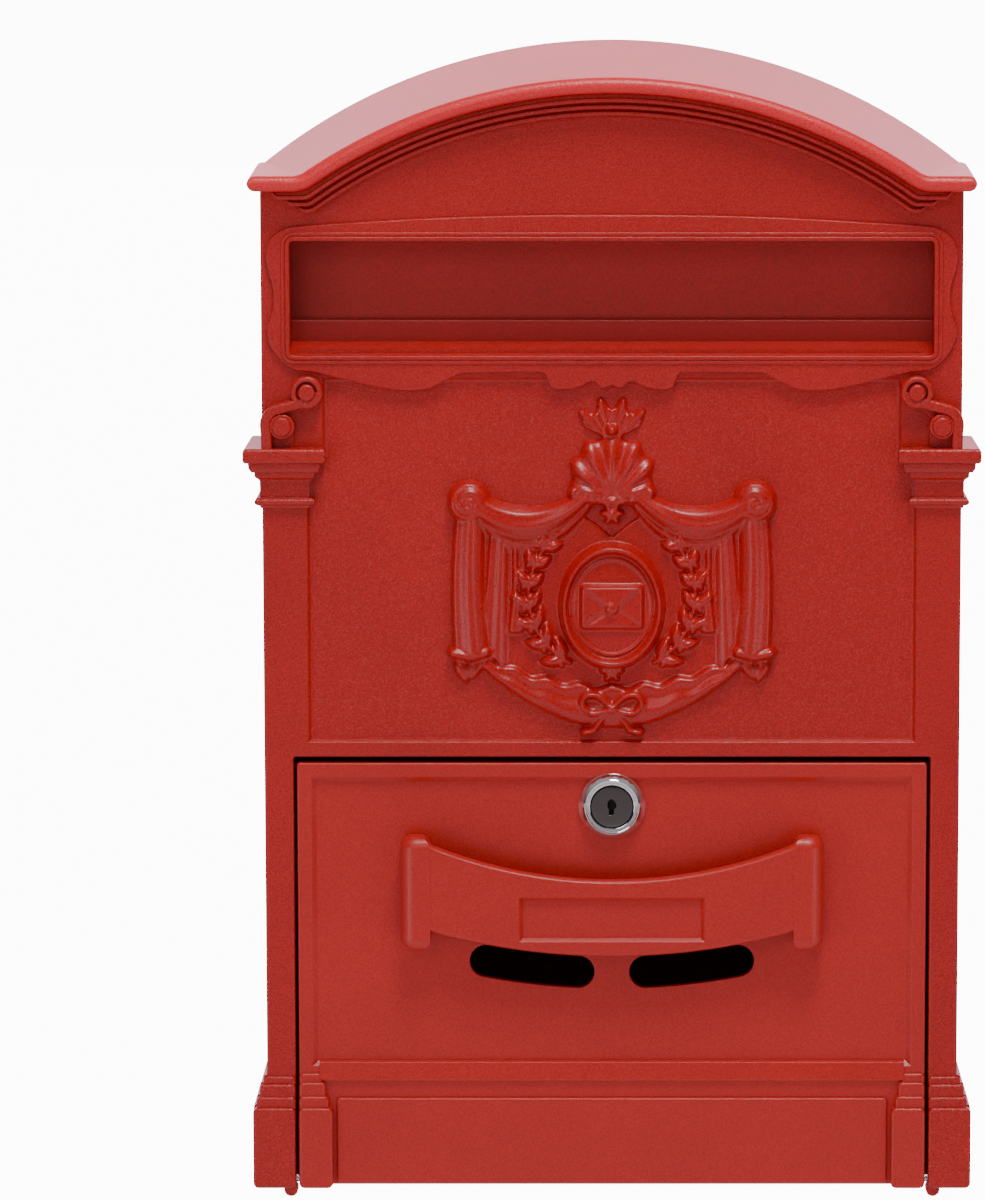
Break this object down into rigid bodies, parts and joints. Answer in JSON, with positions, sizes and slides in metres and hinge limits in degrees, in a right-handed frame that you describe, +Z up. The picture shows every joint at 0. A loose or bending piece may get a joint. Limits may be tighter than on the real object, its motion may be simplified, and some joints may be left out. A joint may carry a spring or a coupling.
{
  "type": "post box",
  "caption": "Wall-hung letter box with an arched cornice roof, a mail slot with an inner flap, a drop-down collection door, a bow handle and a cam lock.",
  "frame": {"origin": "on the wall plane, at the middle of the four wall holes", "axes": "+Z up, -Y towards the person at the front, +X to their right"},
  "size_m": [0.26, 0.09, 0.4103],
  "materials": {
    "cast_paint": "red textured powder coat on cast aluminium",
    "door_paint": "red fine-textured powder coat",
    "sheet_paint": "red powder coat on folded sheet",
    "chrome": "polished chrome",
    "nickel": "satin nickel",
    "zinc_steel": "zinc plated",
    "rubber": "matte"
  },
  "bodies": {
    "case": {"front_casting": "cast_paint", "roof_casting": "cast_paint", "case_shell": "sheet_paint", "back_plate": "sheet_paint", "back_screws": "zinc_steel", "case_screws": "zinc_steel", "roof_screws": "zinc_steel", "relief_ornament": "cast_paint", "ornament_screws": "zinc_steel", "flap_rod": "zinc_steel", "rod_clips": "zinc_steel", "flap_bracket_left": "zinc_steel", "flap_bracket_right": "zinc_steel", "bracket_screws": "zinc_steel", "door_buffers": "rubber"},
    "flap": {"flap": "sheet_paint"},
    "door": {"door": "door_paint", "door_handle": "door_paint", "handle_screws": "zinc_steel", "hinge_pin_left": "zinc_steel", "hinge_pin_right": "zinc_steel", "lock_housing": "chrome", "lock_nut": "zinc_steel"},
    "lock_core": {"lock_plug": "nickel", "lock_cam": "zinc_steel", "cam_washer": "zinc_steel", "cam_screw": "zinc_steel"}
  },
  "joints": [
    {"name": "door_hinge", "type": "hinge", "parent": "case", "child": "door", "pos_m": [0, -0.0805, -0.1868], "axis": [1, 0, 0], "range_deg": [0, 100]},
    {"name": "flap_hinge", "type": "hinge", "parent": "case", "child": "flap", "pos_m": [0, -0.0675, 0.15546], "axis": [1, 0, 0], "range_deg": [0, 65]},
    {"name": "lock_turn", "type": "hinge", "parent": "door", "child": "lock_core", "pos_m": [0, -0.075, -0.0518], "axis": [0, -1, 0], "range_deg": [0, 90]}
  ]
}
